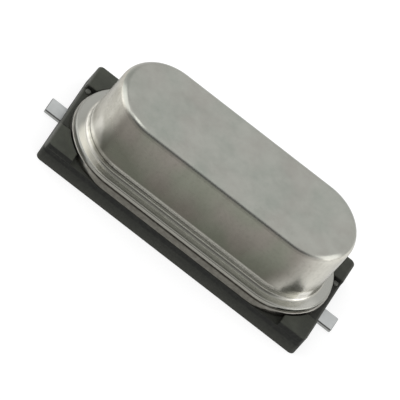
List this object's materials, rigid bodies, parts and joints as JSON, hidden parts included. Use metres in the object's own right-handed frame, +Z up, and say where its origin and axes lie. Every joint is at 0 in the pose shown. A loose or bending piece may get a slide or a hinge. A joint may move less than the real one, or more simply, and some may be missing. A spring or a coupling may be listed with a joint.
{
  "type": "quartz crystal",
  "caption": "Surface-mount quartz crystal: low oval metal can welded to a header, on a black moulded spacer with corner posts and flattened leads bent out at both ends.",
  "frame": {"origin": "on the circuit board, under the middle of the part", "axes": "+X along the can towards the right-hand lead, +Y across it to the back, +Z up from the board"},
  "size_m": [0.0126, 0.0046, 0.0038],
  "materials": {
    "can_metal": "satin drawn nickel silver",
    "header_metal": "satin nickel plate",
    "lead_tin": "dull tin plate",
    "spacer_plastic": "matt moulded black",
    "seal_glass": "smoky sealing glass",
    "clip_metal": "bright spring strip",
    "quartz": "lapped quartz",
    "electrode_film": "evaporated silver",
    "silver_adhesive": "matt silver-filled resin"
  },
  "bodies": {
    "root": {"can": "can_metal", "header": "header_metal", "spacer": "spacer_plastic", "lead_left": "lead_tin", "lead_right": "lead_tin", "glass_seal_left": "seal_glass", "glass_seal_right": "seal_glass", "spring_clip_left": "clip_metal", "spring_clip_right": "clip_metal", "quartz_blank": "quartz", "electrode_top": "electrode_film", "electrode_bottom": "electrode_film", "adhesive_left": "silver_adhesive", "adhesive_right": "silver_adhesive"}
  },
  "joints": []
}
